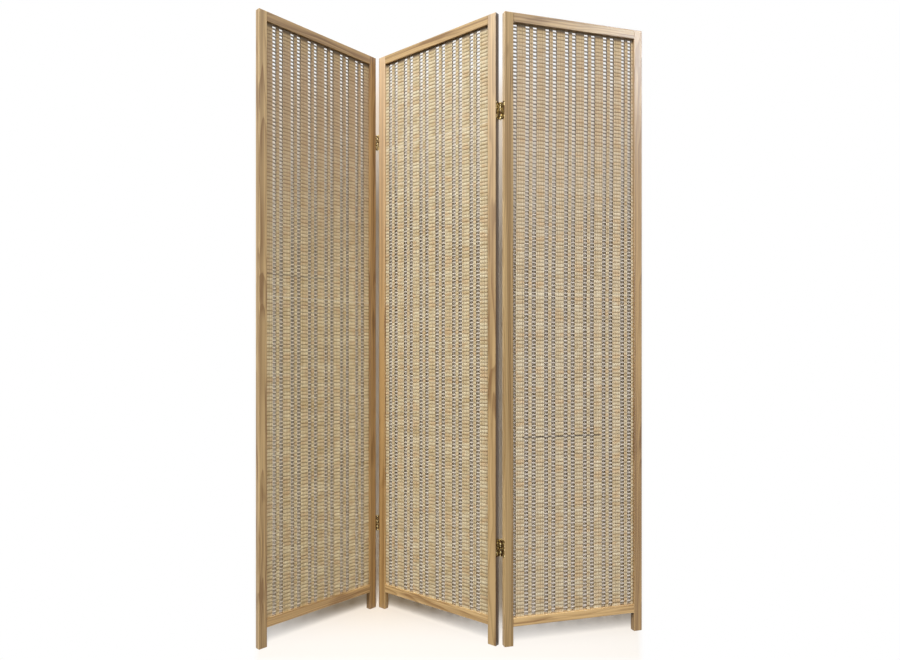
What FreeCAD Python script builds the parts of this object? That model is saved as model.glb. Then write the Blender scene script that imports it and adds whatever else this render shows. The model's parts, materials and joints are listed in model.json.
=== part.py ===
"""Folding screen: three framed bamboo panels, joined like a concertina by brass butt hinges.

The middle panel stands along X with its front towards -Y. The left panel folds on pins in front of the
joint, the right panel on pins behind it. A panel is modelled in its own axes, x along its width from
its left edge, y from its front face to its back, z up from the floor, and is then turned to its place.
"""
import FreeCAD
import Part
import math
import os

from FreeCAD import Placement, Rotation, Vector

# Panel frame
panel_height = 1800.0
panel_width = 447.0
frame_thickness = 17.0
stile_width = 27.0
top_rail_height = 27.5
bottom_rail_height = 25.0
foot_height = 55.0
arris_radius = 1.5

# How far each outer panel is turned from standing in line with the middle one, in degrees
left_turn = 85.25
right_turn = 55.85

# Bamboo mat: level slats between a front and a back layer of upright strips
slat_height = 5.2
slat_thickness = 1.4
slat_pitch = 10.65
strip_width = 5.2
strip_thickness = 0.9
strip_pitch = 5.4
wide_band_strips = 5
narrow_band_strips = 2
band_period = 62.7
strip_slat_clearance = 0.1
left_pattern_shift = 0.3
middle_pattern_shift = -8.6
right_pattern_shift = 14.3

# Groove that holds the mat's edges in the stiles and rails
groove_depth = 8.0
groove_side_clearance = 0.15
groove_end_clearance = 1.0

# Dowels between the rails and stiles
dowel_diameter = 8.0
dowel_length = 40.0
dowel_chamfer = 0.8
dowel_side_clearance = 0.05
dowel_end_clearance = 0.5

# Butt hinges
hinge_height = 48.0
hinge_from_end = 277.0
knuckle_count = 5
knuckle_gap = 0.3
barrel_diameter = 7.0
barrel_stile_clearance = 0.5
pin_stand_off = 2.5
leaf_thickness = 1.5
leaf_edge_margin = 1.5
leaf_corner_radius = 2.0
knuckle_relief = 0.33
pin_diameter = 3.2
pin_fixed_clearance = 0.03
pin_running_clearance = 0.05
pin_head_diameter = 5.2
pin_head_height = 1.2
pin_head_gap = 0.15

# Countersunk screws
screw_diameter = 3.0
screw_head_diameter = 5.8
screw_head_sink = 0.05
screw_length = 16.0
screw_tip_length = 3.0
screw_tip_diameter = 0.6
screw_leaf_clearance = 0.1
screw_pilot_clearance = 0.05
screw_pilot_spare = 0.5
screw_spacing = 16.0
screw_stagger = 2.0
screw_cross_length = 3.2
screw_cross_width = 0.8
screw_cross_depth = 0.8

# Sizes that follow from those above
opening_bottom = foot_height + bottom_rail_height
opening_top = panel_height - top_rail_height
opening_height = opening_top - opening_bottom
right_stile_start = panel_width - stile_width
mat_middle = frame_thickness / 2
mat_insert = groove_depth - groove_end_clearance
mat_left = stile_width - mat_insert
mat_right = right_stile_start + mat_insert
strip_inner = slat_thickness / 2 + strip_slat_clearance
strip_outer = strip_inner + strip_thickness
groove_half = strip_outer + groove_side_clearance
dowel_radius = dowel_diameter / 2
dowel_reach = dowel_length / 2 + dowel_end_clearance
top_dowel_height = (opening_top + groove_depth + panel_height) / 2
bottom_dowel_height = (foot_height + opening_bottom - groove_depth) / 2
barrel_radius = barrel_diameter / 2
pin_offset = barrel_radius + barrel_stile_clearance
pin_radius = pin_diameter / 2
leaf_face = pin_offset - leaf_thickness
leaf_end = pin_stand_off + frame_thickness - leaf_edge_margin
knuckle_pitch = hinge_height / knuckle_count
knuckle_height = knuckle_pitch - knuckle_gap
screw_radius = screw_diameter / 2
screw_head_radius = screw_head_diameter / 2
screw_row = pin_stand_off + frame_thickness / 2
hinge_heights = {"lower": hinge_from_end, "upper": panel_height - hinge_from_end}
screw_places = (
    (screw_row + screw_stagger, -screw_spacing),
    (screw_row - screw_stagger, 0.0),
    (screw_row + screw_stagger, screw_spacing),
)

X = Vector(1, 0, 0)
Y = Vector(0, 1, 0)
Z = Vector(0, 0, 1)


def block(x0, x1, y0, y1, z0, z1):
    """A box between two corners."""
    return Part.makeBox(x1 - x0, y1 - y0, z1 - z0, Vector(x0, y0, z0))


def edges_along(shape, direction):
    """The straight edges of a shape that run along a direction."""
    return [e for e in shape.Edges if abs(abs(e.tangentAt(e.FirstParameter).dot(direction)) - 1) < 1e-6]


def dowel_hole(joint_x, height):
    """Clearance hole for a dowel that crosses a rail joint at joint_x."""
    start = Vector(joint_x - dowel_reach, mat_middle, height)
    return Part.makeCylinder(dowel_radius + dowel_side_clearance, 2 * dowel_reach, start, X)


# Hinge pieces, with the pin along Z through the origin, the panel towards +X and its thickness towards +Y
def knuckle_start(index):
    """Height of a knuckle's lower end above the hinge's middle."""
    return index * knuckle_pitch - hinge_height / 2 + knuckle_gap / 2


def screw_shape(y, z, clearance=0.0, spare=0.0):
    """A countersunk screw driven along +X from the leaf's face, or its hole where clearance is given."""
    head = screw_head_radius + clearance
    shank = screw_radius + clearance
    start = leaf_face + (0.0 if clearance else screw_head_sink)
    neck = start + head - shank
    end = start + screw_length + spare
    tip = end - screw_tip_length
    outline = [
        Vector(start, 0, 0),
        Vector(start, head, 0),
        Vector(neck, shank, 0),
        Vector(tip, shank, 0),
        Vector(end, screw_tip_diameter / 2 + clearance, 0),
        Vector(end, 0, 0),
        Vector(start, 0, 0),
    ]
    body = Part.Face(Part.makePolygon(outline)).revolve(Vector(0, 0, 0), X, 360)
    body.translate(Vector(0, y, z))
    return body


def screw(y, z):
    """A screw with its cross recess."""
    body = screw_shape(y, z)
    half_length = screw_cross_length / 2
    half_width = screw_cross_width / 2
    depth = leaf_face + screw_head_sink + screw_cross_depth
    for dy, dz in ((half_length, half_width), (half_width, half_length)):
        body = body.cut(block(0, depth, y - dy, y + dy, z - dz, z + dz))
    return body


def leaf(own_knuckles, bore_clearance):
    """A hinge leaf: a plate on the stile's edge, its knuckles, the pin's bore and the screw holes."""
    half = hinge_height / 2
    plate = block(leaf_face, pin_offset, 0, leaf_end, -half + knuckle_gap / 2, half - knuckle_gap / 2)
    far_corners = [e for e in edges_along(plate, X) if e.Vertexes[0].Y > screw_row]
    plate = plate.makeFillet(leaf_corner_radius, far_corners)
    relief_radius = barrel_radius + knuckle_relief
    relief_end = math.sqrt(relief_radius**2 - leaf_face**2)
    for index in range(knuckle_count):
        start = knuckle_start(index)
        if index in own_knuckles:
            plate = plate.fuse(Part.makeCylinder(barrel_radius, knuckle_height, Vector(0, 0, start), Z))
        else:
            low = start - knuckle_gap
            high = start + knuckle_height + knuckle_gap
            plate = plate.cut(block(leaf_face, pin_offset, 0, relief_end, low, high))
    bore = Part.makeCylinder(pin_radius + bore_clearance, hinge_height, Vector(0, 0, -half), Z)
    plate = plate.cut(bore)
    for y, z in screw_places:
        plate = plate.cut(screw_shape(y, z, screw_leaf_clearance))
    return plate.removeSplitter()


def hinge_pin():
    """A pin with a rounded head at each end."""
    half = hinge_height / 2 + pin_head_gap
    pin = Part.makeCylinder(pin_radius, 2 * half, Vector(0, 0, -half), Z)
    for start, way in ((half, Z), (-half, -Z)):
        head = Part.makeCylinder(pin_head_diameter / 2, pin_head_height, Vector(0, 0, start), way)
        rim = [e for e in head.Edges if abs(e.BoundBox.Center.z) > half + pin_head_height / 2 and e.Closed]
        pin = pin.fuse(head.makeFillet(pin_head_height / 2, rim))
    return pin.removeSplitter()


def on_edge(shape, edge, pin_side, height):
    """Carry a hinge piece to a panel's left or right edge, with its pin proud of the front or back."""
    at_right = edge == "right"
    at_back = pin_side == "back"
    x = panel_width + pin_offset if at_right else -pin_offset
    y = frame_thickness + pin_stand_off if at_back else -pin_stand_off
    turns = {
        (False, False): Rotation(),
        (True, False): Rotation(Y, 180),
        (False, True): Rotation(X, 180),
        (True, True): Rotation(Z, 180),
    }
    moved = shape.copy()
    moved.Placement = Placement(Vector(x, y, height), turns[at_right, at_back]).multiply(shape.Placement)
    return moved


# Pieces of a panel
def stile(edge, hinge_side):
    """A stile with its mat groove, dowel holes and, on a hinged edge, the screws' pilot holes."""
    at_right = edge == "right"
    start = right_stile_start if at_right else 0.0
    inner = right_stile_start if at_right else stile_width
    groove_start = inner if at_right else inner - groove_depth
    blank = block(start, start + stile_width, 0, frame_thickness, 0, panel_height)
    wood = blank.makeFillet(arris_radius, blank.Edges)
    wood = wood.cut(
        block(
            groove_start,
            groove_start + groove_depth,
            mat_middle - groove_half,
            mat_middle + groove_half,
            opening_bottom - groove_depth,
            opening_top + groove_depth,
        )
    )
    for height in (bottom_dowel_height, top_dowel_height):
        wood = wood.cut(dowel_hole(inner, height))
    if hinge_side:
        for height in hinge_heights.values():
            for y, z in screw_places:
                pilot = screw_shape(y, z, screw_pilot_clearance, screw_pilot_spare)
                wood = wood.cut(on_edge(pilot, edge, hinge_side, height))
    return wood


def rail(bottom, top, groove_bottom):
    """A rail between the stiles, with its mat groove and dowel holes."""
    blank = block(stile_width, right_stile_start, 0, frame_thickness, bottom, top)
    wood = blank.makeFillet(arris_radius, edges_along(blank, X))
    low = mat_middle - groove_half
    high = mat_middle + groove_half
    wood = wood.cut(
        block(stile_width, right_stile_start, low, high, groove_bottom, groove_bottom + groove_depth)
    )
    height = bottom_dowel_height if bottom == foot_height else top_dowel_height
    for joint_x in (stile_width, right_stile_start):
        wood = wood.cut(dowel_hole(joint_x, height))
    return wood


def rail_dowels():
    """A chamfered dowel across each of the four rail joints."""
    made = []
    for joint_x in (stile_width, right_stile_start):
        for height in (bottom_dowel_height, top_dowel_height):
            start = Vector(joint_x - dowel_length / 2, mat_middle, height)
            peg = Part.makeCylinder(dowel_radius, dowel_length, start, X)
            rims = [e for e in peg.Edges if e.Closed]
            made.append(peg.makeChamfer(dowel_chamfer, rims))
    return Part.makeCompound(made)


def slats():
    """Level slats, evenly spaced over the opening's height and let into the stiles."""
    rows = int(opening_height // slat_pitch)
    first = (opening_bottom + opening_top - (rows - 1) * slat_pitch) / 2
    low = mat_middle - slat_thickness / 2
    high = mat_middle + slat_thickness / 2
    made = []
    for row in range(rows):
        middle = first + row * slat_pitch
        made.append(
            block(mat_left, mat_right, low, high, middle - slat_height / 2, middle + slat_height / 2)
        )
    return Part.makeCompound(made)


def strip_places(pattern_shift):
    """Middles of the upright strips across a panel, in wide and narrow bands that take turns."""
    reach = math.ceil(panel_width / band_period)
    centre = panel_width / 2 + pattern_shift
    places = []
    for period in range(-reach, reach + 1):
        wide = centre + period * band_period
        narrow = wide + band_period / 2
        for middle, count in ((wide, wide_band_strips), (narrow, narrow_band_strips)):
            places += [middle + (i - (count - 1) / 2) * strip_pitch for i in range(count)]
    half = strip_width / 2
    return [x for x in places if x - half >= mat_left and x + half <= mat_right]


def strips(pattern_shift, low, high):
    """One layer of upright strips, let into the rails."""
    bottom = opening_bottom - mat_insert
    top = opening_top + mat_insert
    half = strip_width / 2
    return Part.makeCompound(
        [block(x - half, x + half, low, high, bottom, top) for x in strip_places(pattern_shift)]
    )


def panel(pattern_shift, left_hinge_side, right_hinge_side):
    """The wooden frame and bamboo mat of one panel, by short node name."""
    front = mat_middle - strip_outer
    back = mat_middle + strip_inner
    return {
        "left_stile": stile("left", left_hinge_side),
        "right_stile": stile("right", right_hinge_side),
        "top_rail": rail(opening_top, panel_height, opening_top),
        "bottom_rail": rail(foot_height, opening_bottom, opening_bottom - groove_depth),
        "rail_dowels": rail_dowels(),
        "slats": slats(),
        "front_strips": strips(pattern_shift, front, front + strip_thickness),
        "back_strips": strips(pattern_shift, back, back + strip_thickness),
    }


def screws(edge, pin_side):
    """All the screws that hold a panel's leaves along one edge."""
    made = []
    for height in hinge_heights.values():
        made += [on_edge(screw(y, z), edge, pin_side, height) for y, z in screw_places]
    return Part.makeCompound(made)


def pin_place(edge, pin_side):
    """The pin line's x and y in a panel's own axes."""
    return on_edge(Part.Vertex(0, 0, 0), edge, pin_side, 0).Point


def turned_about_pin(turn, own_pin, pin):
    """The place of an outer panel, turned about the pin line that it shares with the middle panel."""
    rotation = Rotation(Z, turn)
    return Placement(pin - rotation.multVec(own_pin), rotation)


left_pin = pin_place("left", "front")
right_pin = pin_place("right", "back")
places = {
    "left": turned_about_pin(left_turn, pin_place("right", "front"), left_pin),
    "middle": Placement(),
    "right": turned_about_pin(right_turn, pin_place("left", "back"), right_pin),
}
panels = {
    "left": panel(left_pattern_shift, None, "front"),
    "middle": panel(middle_pattern_shift, "front", "back"),
    "right": panel(right_pattern_shift, "back", None),
}

# Every node's solids in their panel's own axes, with the panel that carries them
nodes = {}
for side, pieces in panels.items():
    for name, shape in pieces.items():
        nodes[f"{side}_panel_{name}"] = (side, shape)

middle_knuckles = range(0, knuckle_count, 2)
outer_knuckles = range(1, knuckle_count, 2)
middle_leaf = leaf(middle_knuckles, pin_fixed_clearance)
outer_leaf = leaf(outer_knuckles, pin_running_clearance)
for side, pin_side, outer_edge in (("left", "front", "right"), ("right", "back", "left")):
    for level, height in hinge_heights.items():
        hinge = f"{side}_{level}_hinge"
        nodes[f"{hinge}_middle_leaf"] = ("middle", on_edge(middle_leaf, side, pin_side, height))
        nodes[f"{hinge}_outer_leaf"] = (side, on_edge(outer_leaf, outer_edge, pin_side, height))
        nodes[f"{hinge}_pin"] = ("middle", on_edge(hinge_pin(), side, pin_side, height))
    nodes[f"middle_panel_{side}_hinge_screws"] = ("middle", screws(side, pin_side))
    nodes[f"{side}_panel_hinge_screws"] = (side, screws(outer_edge, pin_side))

# The origin is on the floor, at the middle of the screen's footprint
placed = {}
for name, (side, shape) in nodes.items():
    shape.Placement = places[side].multiply(shape.Placement)
    placed[name] = shape
footprint = FreeCAD.BoundBox()
for name, shape in placed.items():
    if name.endswith("stile"):
        footprint.add(shape.optimalBoundingBox(False, False))
centre = Vector(footprint.Center.x, footprint.Center.y, 0)

os.makedirs("parts", exist_ok=True)
for name, shape in placed.items():
    shape.translate(-centre)
    shape.exportStep(f"parts/{name}.step")

print("left pin", left_pin - centre)
print("right pin", right_pin - centre)
foot_middle = Vector(stile_width / 2, frame_thickness / 2, 0)
for side, place in places.items():
    for shift in (0, right_stile_start):
        print(side, "foot", place.multVec(foot_middle + shift * X) - centre)
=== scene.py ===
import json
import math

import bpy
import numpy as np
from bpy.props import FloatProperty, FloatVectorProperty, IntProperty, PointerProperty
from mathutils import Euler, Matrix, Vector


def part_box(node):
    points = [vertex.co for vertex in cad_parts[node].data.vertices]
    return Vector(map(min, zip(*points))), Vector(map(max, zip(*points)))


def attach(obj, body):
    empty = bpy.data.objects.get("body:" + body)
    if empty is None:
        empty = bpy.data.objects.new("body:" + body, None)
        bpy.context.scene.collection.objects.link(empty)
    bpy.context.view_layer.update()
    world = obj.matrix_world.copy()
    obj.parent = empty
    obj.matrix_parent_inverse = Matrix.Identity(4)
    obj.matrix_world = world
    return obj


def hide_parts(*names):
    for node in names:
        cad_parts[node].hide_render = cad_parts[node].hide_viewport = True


bl_info = {
    "name": "Bamboo folding screen",
    "version": (1, 0, 0),
    "blender": (4, 5, 0),
    "location": "View3D > Sidebar > Screen",
    "description": "Dresses a three-panel bamboo folding screen and sets it in a plain studio",
    "category": "Object",
}

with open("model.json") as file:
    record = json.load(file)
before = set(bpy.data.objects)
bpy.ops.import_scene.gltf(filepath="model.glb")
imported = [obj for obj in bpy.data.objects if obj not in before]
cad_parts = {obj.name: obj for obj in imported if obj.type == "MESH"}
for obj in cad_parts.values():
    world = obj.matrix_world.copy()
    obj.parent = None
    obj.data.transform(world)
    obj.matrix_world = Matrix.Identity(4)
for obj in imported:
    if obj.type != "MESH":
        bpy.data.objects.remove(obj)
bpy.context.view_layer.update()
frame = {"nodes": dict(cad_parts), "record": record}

# The panels, from the frame
SIDES = ("left", "middle", "right")
LAYERS = {"front": -1.0, "back": 1.0}
BOARDS = ("left_stile", "right_stile", "top_rail", "bottom_rail")
HINGE_STILES = ("middle_panel_right_stile", "right_panel_left_stile")
MOUNTS = {m["name"]: Vector(m["pos_m"]) for m in frame["record"]["mounts"]}
STILE_LOW, STILE_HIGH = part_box("middle_panel_left_stile")
STILE_WIDTH = STILE_HIGH.x - STILE_LOW.x
FRAME_THICKNESS = STILE_HIGH.y - STILE_LOW.y
PANEL_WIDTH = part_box("middle_panel_right_stile")[1].x - STILE_LOW.x
MAT_DEPTH = FRAME_THICKNESS / 2

# Slats: corners of the section, stations along, and the spread of their tilt and bow
SLAT_CORNERS = 10
SLAT_STATIONS = 6
SLAT_TILT = 0.03
SLAT_BOW = 0.0001

# Strips: stations in each row, corners of the section, spreads of the bulge and waves of the sway
STRIP_STATIONS = np.array((0.0, 0.2, 0.8))
STRIP_OUTER = np.array((1.0, 1.0, 0.0, 0.0))
STRIP_EDGES = np.array((-1.0, 1.0, 1.0, -1.0))
ROW_BULGE = 0.16
STRIP_BULGE = 0.12
CELL_BULGE = 0.08
SWAY_WAVES = (5.1, 3.3)
ROW_MARGIN = 1e-6

# Both: how far a piece reaches from the middle of its cell in the weave's map, and where shading breaks
CELL_REACH = 0.4
SHARP_ANGLE = math.radians(32)

# Seeds of the random draws
SLAT_SEED = 10
STRIP_SEED = 20
STRIP_SEED_STEP = 5
SLAT_TONE_STEP = 3
BOARD_SEED_STEP = 10

# How orange each board is, where 0 is pale sapwood and 1 heartwood, and how light, which is partly painted
# light and shade
BOARD_TONES_AND_SHADES = {
    "left": ((0.30, 0.85), (1.2, 0.75), (0.90, 0.70), (0.70, 1.0)),
    "middle": ((0.85, 0.89), (0.40, 0.96), (0.60, 0.84), (0.40, 1.0)),
    "right": ((0.10, 1.14), (0.85, 0.68), (0.50, 0.68), (0.55, 1.0)),
}

# Painted sheen and light: how far each panel's stiles turn paler towards their tops, and from which height to
# which
STILE_SHEEN_SHARES = {"left": 0.0, "middle": 0.38, "right": 0.16}
SHEEN_HEIGHTS = (0.7, 1.8)

# Painted shade: the stile whose hinge edge is darkened, how deep in from the edge, and how strongly
SHADED_EDGE_STILE = "middle_panel_right_stile"
EDGE_SHADE_DEPTHS = (0.0006, 0.0002)
EDGE_SHADE_SHARE = 0.9

# Noise of the pine: scale across and along the grain, and detail
PINE_NOISE = {
    "warp": (16, 2.4, 2.0),
    "fibre": (1400, 14, 2.0),
    "streak": (105, 1.3, 3.0),
    "flame": (34, 5, 2.0),
}
RING_WARP = 0.030
RING_POWER = 2.0
RING_END = 0.90
STREAK_RANGE = (0.38, 0.64)
FLAME_RANGE = (0.56, 0.68)
LATE_SHARE = 0.70
FIBRE_SHARE = 0.30
FLAME_SHARE = 0.5
STREAK_SHARE = 0.68
PINE_START = -0.30

# Where a board's pith line may lie, and how much it may lean
PITH_RANGES = ((-0.04, 0.04), (0.02, 0.05), (2, 9))
PITH_LEAN = (0.004, 0.02)

# How each panel's bamboo differs in colour from the rest, partly painted light: the left panel's is lighter,
# and the middle and right panels' bluer as painted sheen
MAT_TINTS_AND_LIGHT = {
    "left": (1.10, 1.10, 1.08),
    "middle": (1.0, 1.03, 1.08),
    "right": (0.96, 0.99, 1.09),
}

# Painted shade: how brown a panel's strips and how dark its slats turn towards their tops, over which part of
# its rows
STRIP_TOP_SHADES = {"left": 0.85, "middle": 0.0, "right": 0.55}
STRIP_TOP_ROWS = (0.45, 0.95)
SLAT_TOP_SHADES = {"left": 0.52, "middle": 0.0, "right": 0.52}
SLAT_TOP_ROWS = (0.60, 0.95)

# Shaded rows under a top rail, and the last, nearly dark one: from and to which row, counted down, and share
SHADED_ROWS = (7, 2, 0.5)
DARK_ROWS = (1.5, 0.8, 0.85)

# Noise of the bamboo: scale across and along, shift, detail and the range that becomes 0 to 1
BAMBOO_NOISE = {
    "Row": ((0.06, 0.95, 1), (0, 0, 0), 1.0, (0.32, 0.68)),
    "Stain": ((0.16, 0.38, 1), (0, 0, 0), 2.0, (0.36, 0.66)),
    "Blush": ((0.13, 0.50, 1), (31.7, 57.3, 0), 2.0, (0.47, 0.68)),
}
FIBRE_SCALE = (9, 0.5, 1)

# What makes a strip's tone: its own, and its share of each noise
STRIP_OWN = 0.22
STRIP_NOISE = {"Row": 0.46, "Fibre": 0.30, "Stain": 0.50}
STRIP_START = -0.31
STRIP_SHIFT = (61.0, 17.0)
ROSE_SHARE = 0.65

# Painted shade along a strip's edges and in its creases, in parts of a strip and of a row
STRIP_EDGE_SHADE_RANGE = (0.24, 0.40)
STRIP_EDGE_SHADE_SHARE = 0.55
CREASE_SHADE_RANGE = (0.05, 0.24)
CREASE_SHADE_SPREAD = 0.32
CREASE_SHADE_LEAST = 0.50

# What makes a slat's tone, the scale of its fibres, and where the painted shade on its underside begins and
# is full
SLAT_OWN = 0.5
SLAT_FIBRE = 0.6
SLAT_START = -0.1
SLAT_SCALE = 90.0
UNDERSIDE_SHADE_RANGE = (0.22, 0.44)
UNDERSIDE_SHADE_SHARE = 0.85

# Rows where a length of weaving ends: height, start and end along the panel, kind and strength
SEAMS = {
    "left": ((1.062, 0.0, 0.245, "dark", 0.5), (0.991, 0.0, PANEL_WIDTH, "pale", 0.7)),
    "middle": ((1.497, 0.0, PANEL_WIDTH, "pale", 0.7),),
    "right": ((0.591, 0.060, 0.310, "dark", 0.85), (1.0075, 0.0, PANEL_WIDTH, "pale", 0.7)),
}
SEAM_WIDTHS = {"dark": 0.16, "pale": 0.08}

# Finish and wear of each kind of brass piece
BRASS_FINISHES = {
    "leaf": ("aged brass leaf", 0.0),
    "pin": ("aged brass pin", 0.1),
    "screws": ("brass screw", 0.2),
}
TARNISH_SCALE = (230, 230, 230)
TARNISH_RANGE = (0.51, 0.58)

# Flecks of the dowels: scale, and how dark beside the plain wood
FLECK_SCALE = (300, 300, 300)
FLECK_DARKNESS = 0.75

# Strength and depth of the relief that the grain, the fibres and the tarnish give
GRAIN_RELIEF = (0.25, 0.0003)
FIBRE_RELIEF = (0.3, 0.0003)
TARNISH_RELIEF = (0.5, 0.0008)

# Colours of light, and the width, height and colour of each lamp on the screen
WARM_LIGHT = (1, 0.985, 0.96)
COOL_LIGHT = (0.97, 0.985, 1)
BLUE_LIGHT = (0.80, 0.91, 1)
SWEEP_LIGHT = (1, 0.93, 0.84)
EVEN_LIGHT = (1, 0.77, 0.50, 1)
LAMPS = {
    "key": (4.0, 4.0, WARM_LIGHT),
    "fill": (1.8, 2.0, COOL_LIGHT),
    "top": (0.9, 0.9, BLUE_LIGHT),
    "side": (0.8, 0.8, COOL_LIGHT),
    "back": (6.0, 4.0, WARM_LIGHT),
}
SWEEP_LAMP_SIZE = (0.3, 1.7)
LAMP_AIM = (0, 0, 0.9)
HORIZON = (-0.1, 0.3)
SENSOR_WIDTH = 36.0

# The sweep: radius of its bend, reach to each side and towards the camera, and height
SWEEP_RADIUS = 0.35
SWEEP_REACH = 9.0
SWEEP_HEIGHT = 6.0
SWEEP_STATIONS = 17

# Where the sweep is shaded and where it runs out to white, in metres from the camera's foot. Aside is a
# slope from the middle of the view: metres right for each metre ahead.
SHADE_RIGHT = (0.46, 0.70)
SHADE_UP = (0.6, 2.0)
VIEW_MIDDLE = 0.082
WHITE_ASIDE = (0.272, 0.300)
WHITE_UP = (1.9, 2.12)
WHITE_NEAR = (1.70, 1.95, 1.0)
PALE_NEAR = (1.85, 2.2, 0.6)


# Sizes and colours that a user would change

class ScreenWeave(bpy.types.PropertyGroup):
    """The bamboo mat of each panel."""
    strip_thickness: FloatProperty(
        name="Strip thickness", description="Thickness of an upright strip",
        default=0.00055, unit="LENGTH")
    strip_chamfer: FloatProperty(
        name="Strip chamfer", description="How much narrower a strip is on its outer face, at each edge",
        default=0.0008, unit="LENGTH")
    slat_thickness: FloatProperty(
        name="Slat thickness", description="Thickness of a slat at its middle",
        default=0.0036, unit="LENGTH")
    strip_seat: FloatProperty(
        name="Strip seat", description="Gap from the mat's middle to a strip where a slat draws it in",
        default=0.0018, unit="LENGTH")
    end_seat: FloatProperty(
        name="End seat", description="Gap from the mat's middle to a strip's end in the rail's groove",
        default=0.0012, unit="LENGTH")
    bulge: FloatProperty(
        name="Bulge", description="How far a strip bows out between two slats",
        default=0.0012, unit="LENGTH")
    row_wander: FloatProperty(
        name="Row wander", description="Spread of the slats' heights about even spacing",
        default=0.00013, unit="LENGTH")
    strip_wander: FloatProperty(
        name="Strip wander", description="How far a strip strays sideways",
        default=0.00012, unit="LENGTH")
    lean: FloatProperty(
        name="Lean", description="How far the right panel's strips lean towards their tops",
        default=0.005, unit="LENGTH")
    lean_start: FloatProperty(
        name="Lean start", description="Height where that lean begins", default=1.0, unit="LENGTH")
    lean_end: FloatProperty(
        name="Lean end", description="Height where that lean is full", default=1.64, unit="LENGTH")
    lean_margin: FloatProperty(
        name="Lean margin", description="Distance from the stile over which that lean dies out",
        default=0.06, unit="LENGTH")
    seed: IntProperty(name="Seed", description="Seed of the weave's irregularity", default=7)
    strip_light: FloatVectorProperty(
        name="Light strip", description="Colour of the palest strips", subtype="COLOR",
        default=(0.75, 0.645, 0.43))
    # Also the colour of the painted shade in the rows under a top rail
    strip_dark_and_shade: FloatVectorProperty(
        name="Dark strip", description="Colour of the brownest strips", subtype="COLOR",
        default=(0.52, 0.39, 0.20))
    # Painted shade: the colour the strips turn to towards a panel's top
    strip_top_shade: FloatVectorProperty(
        name="Strip tops", description="Colour that the strips turn to towards a panel's top",
        subtype="COLOR", default=(0.45, 0.315, 0.20))
    strip_rose: FloatVectorProperty(
        name="Rose strip", description="Colour of the rosy stains", subtype="COLOR",
        default=(0.62, 0.43, 0.24))
    # Painted shade: the colour of a strip's edges and of the crease where a slat draws it in
    strip_crease_shade: FloatVectorProperty(
        name="Crease", description="Colour of a strip where a slat draws it in", subtype="COLOR",
        default=(0.22, 0.14, 0.06))
    # Colour of a dark seam, and of the painted shadow on the row under a top rail
    strip_gap_and_shadow: FloatVectorProperty(
        name="Gap", description="Colour of a dark seam, and of the row under a top rail", subtype="COLOR",
        default=(0.035, 0.02, 0.008))
    strip_pale: FloatVectorProperty(
        name="Pale seam", description="Colour of a seam where a bare edge shows", subtype="COLOR",
        default=(0.78, 0.70, 0.54))
    slat_light: FloatVectorProperty(
        name="Light slat", description="Colour of the palest slats", subtype="COLOR",
        default=(0.65, 0.575, 0.475))
    slat_dark: FloatVectorProperty(
        name="Dark slat", description="Colour of the darkest slats", subtype="COLOR",
        default=(0.43, 0.375, 0.30))
    # Painted shade: the colour of a slat's underside and of the slats darkened towards a panel's top
    slat_shade: FloatVectorProperty(
        name="Slat underside", description="Colour of a slat's underside, and of dimmed slats",
        subtype="COLOR", default=(0.12, 0.095, 0.07))


class ScreenWood(bpy.types.PropertyGroup):
    """The pine frames."""
    early: FloatVectorProperty(
        name="Early wood", description="Colour of the pale bands in the pine", subtype="COLOR",
        default=(0.68, 0.49, 0.235))
    late: FloatVectorProperty(
        name="Late wood", description="Colour of the dark grain lines in the pine", subtype="COLOR",
        default=(0.27, 0.145, 0.038))
    ring_spacing: FloatProperty(
        name="Ring spacing", description="Distance between two growth rings",
        default=0.0055, unit="LENGTH")
    heart: FloatVectorProperty(
        name="Heartwood", description="How an orange board's colour differs from a pale one's",
        subtype="COLOR", default=(0.84, 0.72, 0.58))
    # Painted sheen and light: the colour a stile pales to towards its top
    painted_sheen: FloatVectorProperty(
        name="Sheened wood", description="Colour that a stile fades to towards its top",
        subtype="COLOR", default=(0.90, 0.70, 0.50))
    # Painted shade on one stile's hinge edge
    stain: FloatVectorProperty(
        name="Edge stain", description="Colour of a shadowed hinge edge", subtype="COLOR",
        default=(0.07, 0.03, 0.006))
    roughness: FloatProperty(
        name="Roughness", description="Roughness of the satin lacquer", default=0.40, subtype="FACTOR")
    lacquer: FloatProperty(
        name="Lacquer", description="How strongly the lacquer shines", default=0.6, subtype="FACTOR")
    dowel: FloatVectorProperty(
        name="Dowel", description="Colour of the hidden beech dowels", subtype="COLOR",
        default=(0.58, 0.38, 0.21))


class ScreenBrass(bpy.types.PropertyGroup):
    """The hinges and their screws."""
    bright: FloatVectorProperty(
        name="Bright brass", description="Colour of the rubbed brass", subtype="COLOR",
        default=(0.80, 0.67, 0.35))
    aged: FloatVectorProperty(
        name="Aged brass", description="Colour of the tarnished brass", subtype="COLOR",
        default=(0.075, 0.034, 0.012))


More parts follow.
